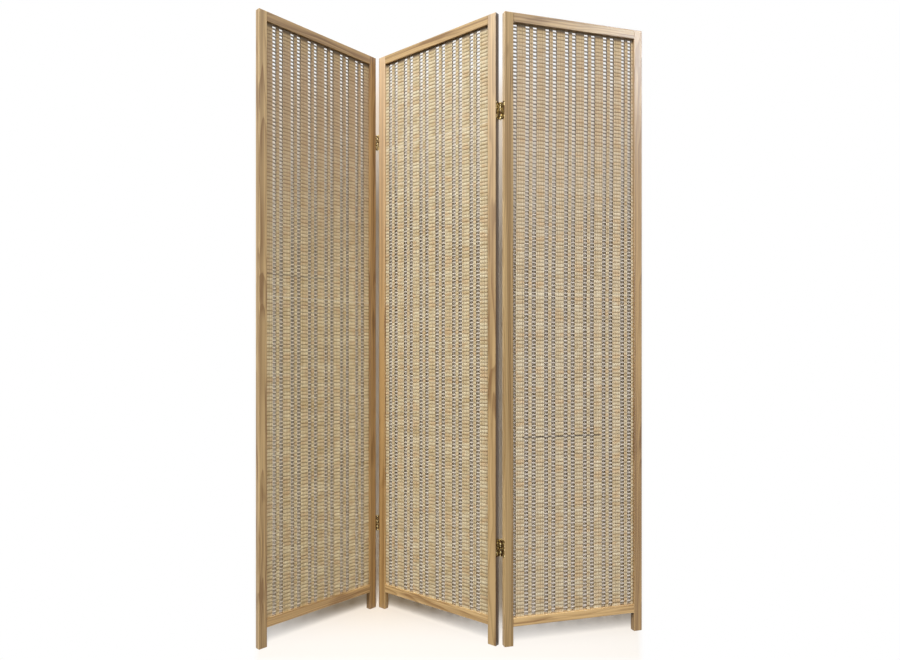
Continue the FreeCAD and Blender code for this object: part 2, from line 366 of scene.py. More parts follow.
class ScreenStage(bpy.types.PropertyGroup):
    """Camera, sweep and lamps. Lamp places are right of, ahead of and above the camera's foot."""
    camera_place: FloatVectorProperty(
        name="Camera", description="Where the camera stands in the shared frame",
        subtype="TRANSLATION", unit="LENGTH", default=(1.116, -1.5666, 0.8257))
    camera_turn: FloatProperty(
        name="Camera turn", description="Turn of the level camera about the vertical",
        default=math.radians(40.744), subtype="ANGLE")
    lens: FloatProperty(
        name="Lens", description="Focal length in millimetres", default=26.264)
    shift: FloatVectorProperty(
        name="Shift", description="Shift of the picture, as the photograph is cropped", size=2,
        default=(0.0612, 0.0282))
    key_place: FloatVectorProperty(
        name="Key lamp", description="Where the key lamp stands", subtype="TRANSLATION", unit="LENGTH",
        default=(-5.0, -4.1, 8.5))
    key_power: FloatProperty(name="Key power", description="Power of the key lamp in watts", default=1110.0)
    top_place: FloatVectorProperty(
        name="Top lamp", description="Where the lamp over the middle panel stands",
        subtype="TRANSLATION", unit="LENGTH", default=(-0.7, 1.2, 3.2))
    top_power: FloatProperty(name="Top power", description="Power of the top lamp in watts", default=19.0)
    side_place: FloatVectorProperty(
        name="Side lamp", description="Where the lamp on the right stands",
        subtype="TRANSLATION", unit="LENGTH", default=(4.7, -1.3, 4.0))
    side_power: FloatProperty(name="Side power", description="Power of the side lamp in watts", default=75.0)
    fill_place: FloatVectorProperty(
        name="Fill lamp", description="Where the fill lamp stands", subtype="TRANSLATION", unit="LENGTH",
        default=(2.25, -2.67, 1.0))
    fill_power: FloatProperty(name="Fill power", description="Power of the fill lamp in watts", default=97.0)
    back_place: FloatVectorProperty(
        name="Back lamp", description="Where the lamp behind the screen stands",
        subtype="TRANSLATION", unit="LENGTH", default=(0.3, 10.0, 6.5))
    back_power: FloatProperty(name="Back power", description="Power of the back lamp in watts", default=700.0)
    sweep_lamp_place: FloatVectorProperty(
        name="Sweep lamp", description="Where the lamp that lights only the sweep stands",
        subtype="TRANSLATION", unit="LENGTH", default=(-0.06, 0.0, 1.95))
    sweep_power: FloatProperty(
        name="Sweep power", description="Power of the sweep's own lamp in watts", default=128.0)
    sky: FloatProperty(name="Sky", description="Strength of the even light from above", default=0.26)
    ground: FloatProperty(name="Ground", description="Strength of the even light from below", default=0.06)
    sweep_colour: FloatVectorProperty(
        name="Sweep", description="Colour of the pale floor and backdrop", subtype="COLOR",
        default=(0.72, 0.705, 0.69))
    sweep_shade: FloatVectorProperty(
        name="Shaded sweep", description="Colour of the backdrop behind the left and middle panels",
        subtype="COLOR", default=(0.60, 0.57, 0.54))
    sweep_distance: FloatProperty(
        name="Sweep distance", description="Distance from the camera to the upright part of the sweep",
        default=2.85, unit="LENGTH")


# Meshes

def panel_axes(side):
    """A panel's own origin and axes, worked out from the middles of its two feet."""
    left = MOUNTS[f"{side}_panel_left_foot"]
    right = MOUNTS[f"{side}_panel_right_foot"]
    along = (right - left).normalized()
    through = Vector((-along.y, along.x, 0))
    origin = left - along * STILE_WIDTH / 2 - through * FRAME_THICKNESS / 2
    return np.array(origin), np.array(along), np.array(through)


def panel_turn(side):
    """A panel's turn about the vertical."""
    _, along, _ = panel_axes(side)
    return math.atan2(along[1], along[0])


def to_frame(side, u, v, z):
    """Points u along a panel, v from its front face and z up, as points of the shared frame."""
    origin, along, through = panel_axes(side)
    u, v, z = np.broadcast_arrays(u, v, z)
    return origin + u[..., None] * along + v[..., None] * through + z[..., None] * np.array((0, 0, 1))


def node_points(node):
    """A CAD node's vertices as an array."""
    mesh = frame["nodes"][node].data
    points = np.empty(len(mesh.vertices) * 3)
    mesh.vertices.foreach_get("co", points)
    return points.reshape(-1, 3)


def slat_rows(side):
    """Lower and upper edge of each CAD slat."""
    edges = np.unique(node_points(f"{side}_panel_slats")[:, 2].round(6))
    return edges.reshape(-1, 2)


def strip_columns(side):
    """Left and right edge of each CAD strip along the panel."""
    origin, along, _ = panel_axes(side)
    edges = np.unique(((node_points(f"{side}_panel_front_strips") - origin) @ along).round(5))
    return edges.reshape(-1, 2)


def bar_mesh(name, corners, uv):
    """A mesh of many closed bars: corners[k, j, c] is corner c of station j along bar k, and uv follows it.

    Each side quad joins corner c to the next one at stations j and j + 1, and quads close both ends.
    """
    bars, stations, count, _ = corners.shape
    index = np.arange(bars * stations * count).reshape(bars, stations, count)
    after = np.roll(index, -1, axis=2)
    sides = np.stack((index[:, :-1], after[:, :-1], after[:, 1:], index[:, 1:]), axis=-1).reshape(-1, 4)
    quads = [sides]
    for c in range(1, count - 2, 2):
        quads += [index[:, 0, [0, c + 2, c + 1, c]], index[:, -1, [0, c, c + 1, c + 2]]]
    faces = np.concatenate(quads)
    mesh = bpy.data.meshes.new(name)
    mesh.vertices.add(corners.size // 3)
    mesh.vertices.foreach_set("co", corners.astype(np.float32).ravel())
    mesh.loops.add(faces.size)
    mesh.loops.foreach_set("vertex_index", faces.astype(np.int32).ravel())
    mesh.polygons.add(len(faces))
    mesh.polygons.foreach_set("loop_start", np.arange(0, faces.size, 4, dtype=np.int32))
    layer = mesh.uv_layers.new(name="Weave")
    layer.data.foreach_set("uv", uv.reshape(-1, 2)[faces.ravel()].astype(np.float32).ravel())
    mesh.polygons.foreach_set("use_smooth", np.ones(len(faces), dtype=bool))
    mesh.update(calc_edges=True)
    mesh.set_sharp_from_angle(angle=SHARP_ANGLE)
    return mesh


def add_piece(name, mesh, material, body, slot, *nodes):
    """Put a finished mesh in the scene, on its body, in place of its CAD nodes."""
    mesh.materials.append(material)
    piece = bpy.data.objects.new(name, mesh)
    bpy.context.scene.collection.objects.link(piece)
    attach(piece, body)
    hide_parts(*nodes)
    return piece


def row_heights(side, weave):
    """Middle height of each slat, with the wander that the whole row shares."""
    rng = np.random.default_rng(weave.seed + SIDES.index(side))
    middles = slat_rows(side).mean(axis=1)
    wander = rng.normal(0, weave.row_wander, len(middles))
    return middles + np.clip(wander, -2 * weave.row_wander, 2 * weave.row_wander)


def slat_mesh(side, weave):
    """Level slats: an ellipse of ten corners carried along the panel, each slat a little tilted and bowed.

    Corner angle a gives v = -thickness / 2 sin a and z = -height / 2 cos a from the slat's middle.
    """
    rng = np.random.default_rng(weave.seed + SLAT_SEED + SIDES.index(side))
    edges = slat_rows(side)
    origin, along, _ = panel_axes(side)
    reach = (node_points(f"{side}_panel_slats") - origin) @ along
    stations = np.linspace(reach.min(), reach.max(), SLAT_STATIONS)
    heights = row_heights(side, weave)
    count = len(heights)
    half_height = (edges[:, 1] - edges[:, 0]).mean() / 2
    angle = np.arange(SLAT_CORNERS) * math.tau / SLAT_CORNERS
    tilt = rng.normal(0, SLAT_TILT, (count, 1, 1))
    bow = rng.normal(0, SLAT_BOW, (count, len(stations), 1))
    rise = half_height * np.cos(angle + math.pi)
    z = heights[:, None, None] + bow + rise
    v = MAT_DEPTH - weave.slat_thickness / 2 * np.sin(angle) + tilt * rise
    u = np.broadcast_to(stations[None, :, None], z.shape)
    across = np.arange(count)[:, None, None] + 0.5 + CELL_REACH * rise / half_height
    uv = np.stack(np.broadcast_arrays(u, across), axis=-1)
    return bar_mesh(f"{side}_slats", to_frame(side, u, v, z), uv)


def strip_lean(u, z, weave):
    """How far a strip leans sideways: nothing below the lean's start, and nothing beside the right stile."""
    rise = np.clip((z - weave.lean_start) / (weave.lean_end - weave.lean_start), 0, 1)
    inside = np.clip((PANEL_WIDTH - STILE_WIDTH - u) / weave.lean_margin, 0, 1)
    return weave.lean * rise * inside


def strip_mesh(side, layer, weave):
    """Upright strips of one layer: a chamfered section carried up a line that bows out between the slats.

    With s counting rows, the line stands off the mat's middle by seat + bulge sqrt(|sin(pi s)|).
    """
    sign = LAYERS[layer]
    rng = np.random.default_rng(weave.seed + STRIP_SEED + STRIP_SEED_STEP * SIDES.index(side) + int(sign))
    columns = strip_columns(side)
    heights = row_heights(side, weave)
    rows = len(heights)
    strips = len(columns)
    ends = node_points(f"{side}_panel_{layer}_strips")[:, 2]
    row = np.append((np.arange(-1, rows)[:, None] + STRIP_STATIONS).ravel(), rows)
    z = np.interp(row, np.arange(-1, rows + 1), np.r_[ends.min(), heights, ends.max()])
    gap = np.clip(np.floor(row + ROW_MARGIN).astype(int) + 1, 0, rows)
    gap_bulge = 1 + ROW_BULGE * rng.standard_normal(rows + 1)
    gap_bulge[[0, -1]] = 0
    own_bulge = 1 + STRIP_BULGE * rng.standard_normal((strips, 1))
    own_bulge = own_bulge + CELL_BULGE * rng.standard_normal((strips, rows + 1))[:, gap]
    bow = weave.bulge * gap_bulge[gap] * own_bulge * np.sqrt(np.abs(np.sin(np.pi * row)))
    seats = (weave.end_seat, weave.strip_seat, weave.strip_seat, weave.end_seat)
    stand_off = np.interp(row, (-1, 0, rows - 1, rows), seats) + bow
    waves = np.stack((np.sin(z * SWAY_WAVES[0]), np.cos(z * SWAY_WAVES[1])))
    sway = rng.normal(0, 1, (strips, 2)) @ waves
    middle = columns.mean(axis=1)[:, None] + weave.strip_wander * sway
    if side == "right":
        middle = middle + strip_lean(middle, z, weave)
    half = (columns[:, 1] - columns[:, 0])[:, None, None] / 2
    reach = STRIP_EDGES * -sign * (half - weave.strip_chamfer * STRIP_OUTER)
    u = middle[:, :, None] + reach
    v = MAT_DEPTH + sign * (stand_off[:, :, None] + weave.strip_thickness * STRIP_OUTER)
    height = np.broadcast_to(z[None, :, None], u.shape)
    across = np.arange(strips)[:, None, None] + 0.5 + CELL_REACH * reach / half
    uv = np.stack(np.broadcast_arrays(across, row[None, :, None]), axis=-1)
    return bar_mesh(f"{side}_{layer}_strips", to_frame(side, u, v, height), uv)


# Shader nodes

def set_inputs(tree, node, inputs):
    """Give a node its inputs, by name or number, as values or links."""
    for key, value in inputs.items():
        if isinstance(value, bpy.types.NodeSocket):
            tree.links.new(value, node.inputs[key])
        else:
            node.inputs[key].default_value = value


def add_node(tree, kind, inputs=None, **settings):
    """A node with its settings and inputs."""
    made = tree.nodes.new(kind)
    for name, value in settings.items():
        setattr(made, name, value)
    set_inputs(tree, made, inputs or {})
    return made


def math_node(tree, operation, *values, clamp=False):
    """The result of a Math node."""
    inputs = dict(enumerate(values))
    return add_node(tree, "ShaderNodeMath", inputs, operation=operation, use_clamp=clamp).outputs[0]


def vector_node(tree, operation, first, second):
    """The result of a Vector Math node."""
    return add_node(tree, "ShaderNodeVectorMath", {0: first, 1: second}, operation=operation).outputs[0]


def split(tree, vector):
    """The three parts of a vector."""
    return add_node(tree, "ShaderNodeSeparateXYZ", {0: vector}).outputs


def joined(tree, *parts):
    """A vector of up to three parts."""
    return add_node(tree, "ShaderNodeCombineXYZ", dict(enumerate(parts))).outputs[0]


def object_place(tree):
    """The place on a piece in the shared frame."""
    return add_node(tree, "ShaderNodeTexCoord").outputs["Object"]


def mix_colour(tree, share, first, second):
    """The result of mixing two colours."""
    return add_node(tree, "ShaderNodeMix", {0: share, 6: first, 7: second}, data_type="RGBA").outputs[2]


def paint(tree, colour, share, over):
    """A colour with a share of a plain colour laid over it."""
    return mix_colour(tree, share, colour, (*over, 1))


def noise(tree, vector, scale, detail, roughness=0.5):
    """A noise value over a vector, with each axis scaled by itself."""
    scaled = vector_node(tree, "MULTIPLY", vector, scale)
    inputs = {"Vector": scaled, "Scale": 1.0, "Detail": detail, "Roughness": roughness}
    return add_node(tree, "ShaderNodeTexNoise", inputs).outputs[0]


def ramp_value(tree, value, low, high, to_low=0.0, to_high=1.0):
    """A value carried smoothly from one range to another."""
    inputs = {0: value, 1: low, 2: high, 3: to_low, 4: to_high}
    return add_node(tree, "ShaderNodeMapRange", inputs, interpolation_type="SMOOTHSTEP").outputs[0]


def bump_normal(tree, height, strength, distance):
    """A bumped normal from a height."""
    inputs = {"Height": height, "Strength": strength, "Distance": distance}
    return add_node(tree, "ShaderNodeBump", inputs).outputs[0]


def random_of(tree, value, seed):
    """A random number for each whole value."""
    key = joined(tree, math_node(tree, "FLOOR", value), seed)
    return add_node(tree, "ShaderNodeTexWhiteNoise", {"Vector": key}, noise_dimensions="3D").outputs["Value"]


def off_middle(tree, value):
    """Distance from the middle between two whole values."""
    past = math_node(tree, "FRACT", value)
    return math_node(tree, "ABSOLUTE", math_node(tree, "SUBTRACT", past, 0.5))


def new_group(name, inputs, outputs):
    """An empty shader group with its sockets, and its input and output nodes."""
    tree = bpy.data.node_groups.new(name, "ShaderNodeTree")
    for label, kind in inputs.items():
        tree.interface.new_socket(label, in_out="INPUT", socket_type=kind)
    for label, kind in outputs.items():
        tree.interface.new_socket(label, in_out="OUTPUT", socket_type=kind)
    return tree, tree.nodes.new("NodeGroupInput"), tree.nodes.new("NodeGroupOutput")


def new_material(name):
    """A material with its tree and principled shader."""
    material = bpy.data.materials.new(name)
    material.use_nodes = True
    return material, material.node_tree, material.node_tree.nodes["Principled BSDF"]


# Materials

def pine_figure_group():
    """Growth rings cut lengthways: rings about a pith line beside the board, with Z along the grain.

    Ring number = distance to the leaning pith line / ring spacing, warped by slow noise, and each ring
    darkens towards its late wood. Broad streaks, flames and fine fibres run along the grain.
    """
    tree, group_in, group_out = new_group(
        "Pine figure",
        {"Vector": "NodeSocketVector", "Pith": "NodeSocketVector", "Lean": "NodeSocketFloat",
         "Spacing": "NodeSocketFloat", "Early": "NodeSocketColor", "Late": "NodeSocketColor"},
        {"Color": "NodeSocketColor", "Grain": "NodeSocketFloat"})
    place = vector_node(tree, "ADD", group_in.outputs["Vector"], group_in.outputs["Pith"])
    figure = {
        name: noise(tree, place, (across, across, along), detail)
        for name, (across, along, detail) in PINE_NOISE.items()}
    x, y, z = split(tree, place)
    leaning = math_node(tree, "MULTIPLY_ADD", z, group_in.outputs["Lean"], y)
    squared = math_node(tree, "MULTIPLY_ADD", leaning, leaning, math_node(tree, "MULTIPLY", x, x))
    radius = math_node(tree, "MULTIPLY_ADD", figure["warp"], RING_WARP, math_node(tree, "SQRT", squared))
    ring = math_node(tree, "FRACT", math_node(tree, "DIVIDE", radius, group_in.outputs["Spacing"]))
    late = math_node(tree, "POWER", ring, RING_POWER)
    late = math_node(tree, "MULTIPLY", late, ramp_value(tree, ring, RING_END, 1.0, 1.0, 0.0))
    late = math_node(tree, "MULTIPLY", late, LATE_SHARE)
    grain = math_node(tree, "MULTIPLY_ADD", figure["fibre"], FIBRE_SHARE, late)
    streak = ramp_value(tree, figure["streak"], *STREAK_RANGE)
    flame = ramp_value(tree, figure["flame"], *FLAME_RANGE)
    toned = math_node(tree, "ADD", grain, PINE_START)
    toned = math_node(tree, "MULTIPLY_ADD", flame, FLAME_SHARE, toned)
    toned = math_node(tree, "MULTIPLY_ADD", streak, STREAK_SHARE, toned, clamp=True)
    colour = mix_colour(tree, toned, group_in.outputs["Early"], group_in.outputs["Late"])
    set_inputs(tree, group_out, {"Color": colour, "Grain": grain})
    return tree


def board_place(tree, node, turn):
    """The place on a board from its middle: across it, through it and along its grain."""
    low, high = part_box(node)
    middle = (low + high) / 2
    middle.rotate(Euler((0, 0, -turn)))
    inputs = {"Vector": object_place(tree), "Rotation": (0, 0, -turn), "Location": -middle}
    local = add_node(tree, "ShaderNodeMapping", inputs).outputs[0]
    if node.endswith("rail"):
        x, y, z = split(tree, local)
        local = joined(tree, z, y, x)
    return local


def pine_material(side, board, group, wood, tone, light, seed):
    """Satin pine for one board, with painted sheen and light that pale a stile towards its top, and painted
    shade on one hinge edge.
    """
    material, tree, shader = new_material(f"pine {side} {board}")
    rng = np.random.default_rng(seed)
    node = f"{side}_panel_{board}"
    local = board_place(tree, node, panel_turn(side))
    # The board's lightness is partly painted light and shade
    tint = [light * (1 + tone * (c - 1)) for c in wood.heart]
    figure = add_node(tree, "ShaderNodeGroup", node_tree=group)
    set_inputs(tree, figure, {
        "Vector": local,
        "Pith": [rng.uniform(low, high) for low, high in PITH_RANGES],
        "Lean": rng.uniform(*PITH_LEAN) * rng.choice((-1, 1)),
        "Spacing": wood.ring_spacing,
        "Early": (*np.multiply(wood.early, tint), 1),
        "Late": (*np.multiply(wood.late, tint), 1)})
    colour = figure.outputs["Color"]
    # Painted sheen and light: a stile pales towards its top
    if board.endswith("stile"):
        height = split(tree, object_place(tree))[2]
        sheen = ramp_value(tree, height, *SHEEN_HEIGHTS, 0.0, STILE_SHEEN_SHARES[side])
        colour = paint(tree, colour, sheen, wood.painted_sheen)
    # Painted shade: one stile's hinge edge is darkened
    if node == SHADED_EDGE_STILE:
        start, full = (STILE_WIDTH / 2 - depth for depth in EDGE_SHADE_DEPTHS)
        edge = ramp_value(tree, split(tree, local)[0], start, full, 0.0, EDGE_SHADE_SHARE)
        colour = paint(tree, colour, edge, wood.stain)
    grain = figure.outputs["Grain"]
    set_inputs(tree, shader, {
        "Base Color": colour,
        "Roughness": ramp_value(tree, grain, 0.0, 1.0, wood.roughness - 0.04, wood.roughness + 0.12),
        "Coat Weight": wood.lacquer,
        "Coat Roughness": 0.28,
        "Normal": bump_normal(tree, grain, *GRAIN_RELIEF)})
    return material


def dowel_material(wood):
    """Bare beech with short flecks."""
    material, tree, shader = new_material("beech dowel")
    fleck = noise(tree, object_place(tree), FLECK_SCALE, 3.0)
    dark = tuple(FLECK_DARKNESS * c for c in wood.dowel)
    colour = mix_colour(tree, fleck, (*wood.dowel, 1), (*dark, 1))
    set_inputs(tree, shader, {"Base Color": colour, "Roughness": 0.6})
    return material


def bamboo_fibre_group():
    """Fibres, row shades and stains of split bamboo, over strip or slat number and the place along it."""
    kinds = ("Fibre", *BAMBOO_NOISE)
    tree, group_in, group_out = new_group(
        "Bamboo fibre", {"Vector": "NodeSocketVector"}, dict.fromkeys(kinds, "NodeSocketFloat"))
    place = group_in.outputs["Vector"]
    figure = {"Fibre": noise(tree, place, FIBRE_SCALE, 3.0, 0.6)}
    for kind, (scale, shift, detail, limits) in BAMBOO_NOISE.items():
        value = noise(tree, vector_node(tree, "ADD", place, shift), scale, detail)
        figure[kind] = ramp_value(tree, value, *limits)
    set_inputs(tree, group_out, figure)
    return tree


def fibre_group():
    """The bamboo fibre group, built once."""
    return bpy.data.node_groups.get("Bamboo fibre") or bamboo_fibre_group()


def weave_place(tree):
    """The weave's own coordinates: strip or slat number, and the place along it."""
    return add_node(tree, "ShaderNodeUVMap", uv_map="Weave").outputs[0]


def tinted_and_lit(colour, side):
    """A bamboo colour as it is in one panel, whose tint is partly painted light."""
    return (*np.multiply(colour, MAT_TINTS_AND_LIGHT[side]), 1)


def seam_share(tree, strip, row, side, weave, seam):
    """The seam's strength along the crease of its row, between its first and last strip, and 0 elsewhere."""
    height, start, end, kind, strength = seam
    seam_row = int(np.abs(row_heights(side, weave) - height).argmin())
    middles = strip_columns(side).mean(axis=1)
    first, last = np.searchsorted(middles, (start, end))
    off = math_node(tree, "ABSOLUTE", math_node(tree, "SUBTRACT", row, seam_row))
    line = ramp_value(tree, off, SEAM_WIDTHS[kind], 2 * SEAM_WIDTHS[kind], strength, 0.0)
    after = math_node(tree, "GREATER_THAN", strip, int(first))
    before = math_node(tree, "LESS_THAN", strip, int(last))
    return math_node(tree, "MULTIPLY", line, math_node(tree, "MULTIPLY", after, before))


def shaded_tops(tree, colour, row, side, weave):
    """A strip's colour with painted shade: browner towards the top, shaded in the last rows and nearly dark
    under the rail.
    """
    rows = len(slat_rows(side))
    start, full = (share * rows for share in STRIP_TOP_ROWS)
    colour = paint(tree, colour, ramp_value(tree, row, start, full, 0.0, STRIP_TOP_SHADES[side]), weave.strip_top_shade)
    # Painted shade and shadow in the rows under a top rail
    for (first, last, share), over in ((SHADED_ROWS, weave.strip_dark_and_shade), (DARK_ROWS, weave.strip_gap_and_shadow)):
        colour = paint(tree, colour, ramp_value(tree, row, rows - first, rows - last, 0.0, share), over)
    return colour


def strip_material(name, group, weave, side, seed):
    """Tan bamboo strips: own tones, row shades, stains, painted shade in edges, slat creases and top rows,
    and the seams.
    """
    material, tree, shader = new_material(name)
    place = weave_place(tree)
    strip, row, _ = split(tree, place)
    shift = (STRIP_SHIFT[0] * seed, STRIP_SHIFT[1] * seed, 0)
    moved = add_node(tree, "ShaderNodeMapping", {"Vector": place, "Location": shift}).outputs[0]
    figure = add_node(tree, "ShaderNodeGroup", {"Vector": moved}, node_tree=group).outputs
    tone = math_node(tree, "MULTIPLY", random_of(tree, strip, seed + 0.5), STRIP_OWN)
    for kind, weight in STRIP_NOISE.items():
        tone = math_node(tree, "MULTIPLY_ADD", figure[kind], weight, tone)
    tone = math_node(tree, "ADD", tone, STRIP_START, clamp=True)
    colour = mix_colour(tree, tone, tinted_and_lit(weave.strip_light, side), tinted_and_lit(weave.strip_dark_and_shade, side))
    rosy = math_node(tree, "MULTIPLY", figure["Blush"], ROSE_SHARE)
    colour = paint(tree, colour, rosy, weave.strip_rose)
    colour = shaded_tops(tree, colour, row, side, weave)
    # Painted shade along each strip's edges and in the crease at every slat
    edge = ramp_value(tree, off_middle(tree, strip), *STRIP_EDGE_SHADE_RANGE, 0.0, STRIP_EDGE_SHADE_SHARE)
    colour = paint(tree, colour, edge, weave.strip_crease_shade)
    slat = math_node(tree, "ADD", row, 0.5)
    deep = random_of(tree, slat, seed + 3.5)
    deep = math_node(tree, "MULTIPLY_ADD", deep, CREASE_SHADE_SPREAD, CREASE_SHADE_LEAST)
    near = ramp_value(tree, off_middle(tree, slat), *CREASE_SHADE_RANGE, 1.0, 0.0)
    colour = paint(tree, colour, math_node(tree, "MULTIPLY", near, deep), weave.strip_crease_shade)
    seam_colours = {"dark": weave.strip_gap_and_shadow, "pale": weave.strip_pale}
    for seam in SEAMS[side]:
        share = seam_share(tree, strip, row, side, weave, seam)
        colour = paint(tree, colour, share, seam_colours[seam[3]])
    set_inputs(tree, shader, {
        "Base Color": colour,
        "Roughness": ramp_value(tree, figure["Fibre"], 0.2, 0.8, 0.40, 0.60),
        "Normal": bump_normal(tree, figure["Fibre"], *FIBRE_RELIEF)})
    return material


def slat_material(name, group, weave, side, seed):
    """Greyish bamboo slats, each with its own tone, and painted shade on its underside and towards the
    panel's top.
    """
    material, tree, shader = new_material(name)
    along, number, _ = split(tree, weave_place(tree))
    place = joined(tree, number, math_node(tree, "MULTIPLY", along, SLAT_SCALE))
    fibre = add_node(tree, "ShaderNodeGroup", {"Vector": place}, node_tree=group).outputs["Fibre"]
    tone = math_node(tree, "MULTIPLY", fibre, SLAT_FIBRE)
    tone = math_node(tree, "MULTIPLY_ADD", random_of(tree, number, seed + 0.5), SLAT_OWN, tone)
    tone = math_node(tree, "ADD", tone, SLAT_START, clamp=True)
    colour = mix_colour(tree, tone, tinted_and_lit(weave.slat_light, side), tinted_and_lit(weave.slat_dark, side))
    # Painted shade: the slats turn darker towards the panel's top
    start, full = (share * len(slat_rows(side)) for share in SLAT_TOP_ROWS)
    dimmed = ramp_value(tree, number, start, full, 0.0, SLAT_TOP_SHADES[side])
    colour = paint(tree, colour, dimmed, weave.slat_shade)
    # Painted shade on the lower side of each slat
    under = ramp_value(tree, math_node(tree, "FRACT", number), *UNDERSIDE_SHADE_RANGE, UNDERSIDE_SHADE_SHARE, 0.0)
    colour = paint(tree, colour, under, weave.slat_shade)
    relief = bump_normal(tree, fibre, *FIBRE_RELIEF)
    set_inputs(tree, shader, {"Base Color": colour, "Roughness": 0.6, "Normal": relief})
    return material


def brass_material(name, brass, wear, seed):
    """Aged brass, tarnished and rubbed bright in patches."""
    material, tree, shader = new_material(name)
    inputs = {"Vector": object_place(tree), "Location": (seed, 0, 0)}
    moved = add_node(tree, "ShaderNodeMapping", inputs).outputs[0]
    patch = noise(tree, moved, TARNISH_SCALE, 2.0, 0.6)
    start, full = (limit - wear for limit in TARNISH_RANGE)
    rubbed = ramp_value(tree, patch, start, full)
    set_inputs(tree, shader, {
        "Base Color": mix_colour(tree, rubbed, (*brass.aged, 1), (*brass.bright, 1)),
        "Roughness": ramp_value(tree, rubbed, 0.0, 1.0, 0.58, 0.40),
        "Metallic": 1.0,
        "Normal": bump_normal(tree, patch, *TARNISH_RELIEF)})
    return material


def dress(node, material):
    """Give a CAD node its material."""
    slots = frame["nodes"][node].data.materials
    slots.clear()
    slots.append(material)


# The stage

def from_camera(stage, place):
    """A place given right of, ahead of and above the camera's foot, as a point of the shared frame."""
    turn = stage.camera_turn
    right = Vector((math.cos(turn), math.sin(turn), 0))
    ahead = Vector((-math.sin(turn), math.cos(turn), 0))
    foot = Vector((stage.camera_place[0], stage.camera_place[1], 0))
    return foot + right * place[0] + ahead * place[1] + Vector((0, 0, place[2]))


def add_lamp(name, place, power, width, height, colour):
    """A soft rectangular lamp turned to the screen."""
    data = bpy.data.lights.new(name, "AREA")
    data.shape = "RECTANGLE"
    data.size = width
    data.size_y = height
    data.energy = power
    data.color = colour
    lamp = bpy.data.objects.new(name, data)
    lamp.location = place
    lamp.rotation_euler = (Vector(LAMP_AIM) - Vector(place)).to_track_quat("-Z", "Y").to_euler()
    bpy.context.scene.collection.objects.link(lamp)
    return lamp


def link_lamp(lamp, state, *objects):
    """Let a lamp light these objects alone, or everything but them."""
    receivers = bpy.data.collections.new(f"{lamp.name} receivers")
    for item in objects:
        receivers.objects.link(item)
    for entry in receivers.collection_objects:
        entry.light_linking.link_state = state
    lamp.light_linking.receiver_collection = receivers


def shown_ray(tree):
    """1 for a ray that shows a surface to the camera, straight, in a reflection or through glass."""
    rays = add_node(tree, "ShaderNodeLightPath").outputs
    shown = math_node(tree, "MAXIMUM", rays["Is Camera Ray"], rays["Is Glossy Ray"])
    return math_node(tree, "MAXIMUM", shown, rays["Is Transmission Ray"])


def sweep_mesh(stage):
    """The floor and backdrop in one: a profile of floor, quarter circle and wall carried across the view."""
    angle = np.linspace(0, math.pi / 2, SWEEP_STATIONS)
    flat = stage.sweep_distance - SWEEP_RADIUS
    ahead = np.r_[-SWEEP_REACH, flat + SWEEP_RADIUS * np.sin(angle), stage.sweep_distance]
    up = np.r_[0, SWEEP_RADIUS * (1 - np.cos(angle)), SWEEP_HEIGHT]
    corners = [from_camera(stage, (x, a, z)) for x in (-SWEEP_REACH, SWEEP_REACH) for a, z in zip(ahead, up)]
    count = len(ahead)
    start = np.arange(count - 1)
    faces = np.column_stack((start, start + count, start + count + 1, start + 1))
    mesh = bpy.data.meshes.new("sweep")
    mesh.from_pydata(corners, [], faces.tolist())
    mesh.polygons.foreach_set("use_smooth", np.ones(len(faces), dtype=bool))
    return mesh


def place_from_foot(tree, stage):
    """How far a point is right of, ahead of and above the camera's foot."""
    turn = Euler((0, 0, -stage.camera_turn))
    foot = Vector((stage.camera_place[0], stage.camera_place[1], 0))
    foot.rotate(turn)
    inputs = {"Vector": object_place(tree), "Rotation": turn, "Location": -foot}
    return split(tree, add_node(tree, "ShaderNodeMapping", inputs).outputs[0])


def white_share(tree, right, ahead, up):
    """How far the sweep has run out to white: round the screen's outline, and on the floor before it."""
    slope = math_node(tree, "DIVIDE", right, ahead)
    aside = math_node(tree, "ABSOLUTE", math_node(tree, "SUBTRACT", slope, VIEW_MIDDLE))
    white = ramp_value(tree, aside, *WHITE_ASIDE)
    white = math_node(tree, "MAXIMUM", white, ramp_value(tree, up, *WHITE_UP))
    for near in (WHITE_NEAR, PALE_NEAR):
        white = math_node(tree, "MAXIMUM", white, ramp_value(tree, ahead, *near, 0.0))
    return white


def sweep_material(stage):
    """Pale paper that runs out to plain white round the screen, and isn't there from behind."""
    material, tree, shader = new_material("pale sweep")
    right, ahead, up = place_from_foot(tree, stage)
    behind_left = ramp_value(tree, right, *SHADE_RIGHT, 1.0, 0.0)
    shade = math_node(tree, "MULTIPLY", behind_left, ramp_value(tree, up, *SHADE_UP))
    colour = mix_colour(tree, shade, (*stage.sweep_colour, 1), (*stage.sweep_shade, 1))
    set_inputs(tree, shader, {"Base Color": colour, "Roughness": 0.9, "Specular IOR Level": 0.0})
    share = math_node(tree, "MULTIPLY", white_share(tree, right, ahead, up), shown_ray(tree))
    white = add_node(tree, "ShaderNodeEmission")
    paper = add_node(tree, "ShaderNodeMixShader", {0: share, 1: shader.outputs[0], 2: white.outputs[0]})
    behind = add_node(tree, "ShaderNodeNewGeometry").outputs["Backfacing"]
    clear = add_node(tree, "ShaderNodeBsdfTransparent")
    mixed = add_node(tree, "ShaderNodeMixShader", {0: behind, 1: paper.outputs[0], 2: clear.outputs[0]})
    tree.links.new(mixed.outputs[0], tree.nodes["Material Output"].inputs["Surface"])
    return material


def make_camera(scene, stage):
    """The level camera, with its picture shifted instead of tilted."""
    data = bpy.data.cameras.new("camera")
    data.lens = stage.lens
    data.sensor_width = SENSOR_WIDTH
    data.shift_x, data.shift_y = stage.shift
    camera = bpy.data.objects.new("camera", data)
    camera.location = stage.camera_place
    camera.rotation_euler = (math.pi / 2, 0, stage.camera_turn)
    scene.collection.objects.link(camera)
    scene.camera = camera


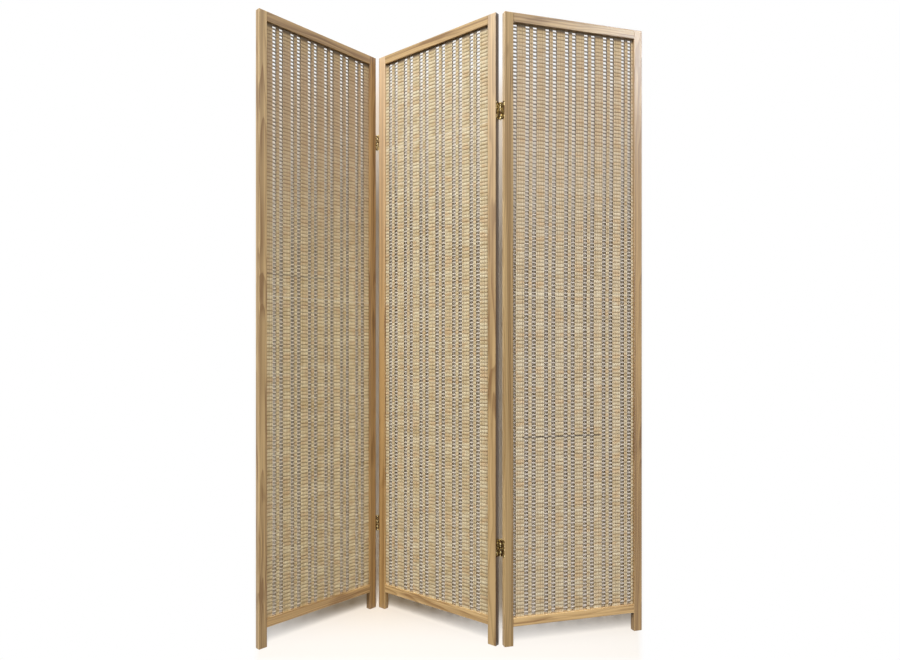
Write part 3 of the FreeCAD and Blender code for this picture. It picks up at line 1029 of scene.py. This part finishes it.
def make_sky(scene, stage):
    """Even warm light, weaker from below, that shows as plain white."""
    world = bpy.data.worlds.new("sky")
    world.use_nodes = True
    tree = world.node_tree
    even = tree.nodes["Background"]
    height = split(tree, add_node(tree, "ShaderNodeTexCoord").outputs["Generated"])[2]
    strength = ramp_value(tree, height, *HORIZON, stage.ground, stage.sky)
    set_inputs(tree, even, {"Color": EVEN_LIGHT, "Strength": strength})
    white = add_node(tree, "ShaderNodeBackground", {"Color": (1, 1, 1, 1), "Strength": 1.0})
    shaders = {0: shown_ray(tree), 1: even.outputs[0], 2: white.outputs[0]}
    mixed = add_node(tree, "ShaderNodeMixShader", shaders)
    tree.links.new(mixed.outputs[0], tree.nodes["World Output"].inputs["Surface"])
    scene.world = world


def make_sweep(scene, stage):
    """The sweep, which throws no light or shadow on the screen."""
    mesh = sweep_mesh(stage)
    mesh.materials.append(sweep_material(stage))
    sweep = bpy.data.objects.new("sweep", mesh)
    sweep.visible_diffuse = False
    sweep.visible_shadow = False
    scene.collection.objects.link(sweep)
    return sweep


def make_lamps(stage, sweep):
    """The screen's lamps, none of which lights the sweep, and the sweep's own lamp."""
    lamps = {}
    for name, looks in LAMPS.items():
        place = from_camera(stage, getattr(stage, f"{name}_place"))
        lamps[name] = add_lamp(name, place, getattr(stage, f"{name}_power"), *looks)
    for name in ("key", "top", "back"):
        link_lamp(lamps[name], "EXCLUDE", sweep)
    hinge_stiles = [frame["nodes"][node] for node in HINGE_STILES]
    for name in ("fill", "side"):
        link_lamp(lamps[name], "EXCLUDE", sweep, *hinge_stiles)
    place = from_camera(stage, stage.sweep_lamp_place)
    sweep_lamp = add_lamp("sweep lamp", place, stage.sweep_power, *SWEEP_LAMP_SIZE, SWEEP_LIGHT)
    link_lamp(sweep_lamp, "INCLUDE", sweep)


# Operators

class ScreenFrames(bpy.types.Operator):
    """Finish the pine stiles and rails and their dowels"""
    bl_idname = "screen.frames"
    bl_label = "Pine frames"

    def execute(self, context):
        wood = context.scene.screen_wood
        group = pine_figure_group()
        dowel = dowel_material(wood)
        for number, side in enumerate(SIDES):
            for place, board in enumerate(BOARDS):
                seed = BOARD_SEED_STEP * number + place + 1
                material = pine_material(side, board, group, wood, *BOARD_TONES_AND_SHADES[side][place], seed)
                dress(f"{side}_panel_{board}", material)
            dress(f"{side}_panel_rail_dowels", dowel)
        return {"FINISHED"}


class ScreenSlats(bpy.types.Operator):
    """Make the level slats of each mat"""
    bl_idname = "screen.slats"
    bl_label = "Bamboo slats"

    def execute(self, context):
        weave = context.scene.screen_weave
        group = fibre_group()
        for number, side in enumerate(SIDES):
            seed = SLAT_TONE_STEP * number
            material = slat_material(f"bamboo slat {side}", group, weave, side, seed)
            mesh = slat_mesh(side, weave)
            add_piece(f"{side}_slats", mesh, material, f"{side}_panel", "bamboo_slat", f"{side}_panel_slats")
        return {"FINISHED"}


class ScreenStrips(bpy.types.Operator):
    """Make the upright strips in front of and behind the slats"""
    bl_idname = "screen.strips"
    bl_label = "Bamboo strips"

    def execute(self, context):
        weave = context.scene.screen_weave
        group = fibre_group()
        for number, side in enumerate(SIDES):
            for layer in LAYERS:
                name = f"{side}_{layer}_strips"
                node = f"{side}_panel_{layer}_strips"
                seed = STRIP_SEED_STEP * number + LAYERS[layer]
                material = strip_material(f"bamboo strip {side} {layer}", group, weave, side, seed)
                mesh = strip_mesh(side, layer, weave)
                add_piece(name, mesh, material, f"{side}_panel", "bamboo_strip", node)
        return {"FINISHED"}


class ScreenHinges(bpy.types.Operator):
    """Finish the brass hinges and their screws"""
    bl_idname = "screen.hinges"
    bl_label = "Brass hinges"

    def execute(self, context):
        brass = context.scene.screen_brass
        for number, (kind, (name, wear)) in enumerate(BRASS_FINISHES.items()):
            material = brass_material(name, brass, wear, number)
            for node in frame["nodes"]:
                if node.endswith(kind):
                    dress(node, material)
        return {"FINISHED"}


class ScreenStudio(bpy.types.Operator):
    """Set up the sweep, lamps and camera"""
    bl_idname = "screen.studio"
    bl_label = "Studio"

    def execute(self, context):
        scene = context.scene
        stage = scene.screen_stage
        make_camera(scene, stage)
        make_sky(scene, stage)
        make_lamps(stage, make_sweep(scene, stage))
        scene.view_settings.view_transform = "Standard"
        return {"FINISHED"}


class ScreenPanel(bpy.types.Panel):
    """Lists the steps that dress the screen"""
    bl_idname = "VIEW3D_PT_screen"
    bl_label = "Folding screen"
    bl_space_type = "VIEW_3D"
    bl_region_type = "UI"
    bl_category = "Screen"

    def draw(self, context):
        for operator in OPERATORS:
            self.layout.operator(operator.bl_idname)


OPERATORS = (ScreenFrames, ScreenSlats, ScreenStrips, ScreenHinges, ScreenStudio)
GROUPS = {
    "screen_weave": ScreenWeave,
    "screen_wood": ScreenWood,
    "screen_brass": ScreenBrass,
    "screen_stage": ScreenStage,
}
CLASSES = (*GROUPS.values(), *OPERATORS, ScreenPanel)


def register():
    for cls in CLASSES:
        bpy.utils.register_class(cls)
    for name, group in GROUPS.items():
        setattr(bpy.types.Scene, name, PointerProperty(type=group))


def unregister():
    for name in GROUPS:
        delattr(bpy.types.Scene, name)
    for cls in reversed(CLASSES):
        bpy.utils.unregister_class(cls)


def main():
    register()
    bpy.ops.screen.frames()
    bpy.ops.screen.slats()
    bpy.ops.screen.strips()
    bpy.ops.screen.hinges()
    bpy.ops.screen.studio()


if __name__ == "__main__":
    main()
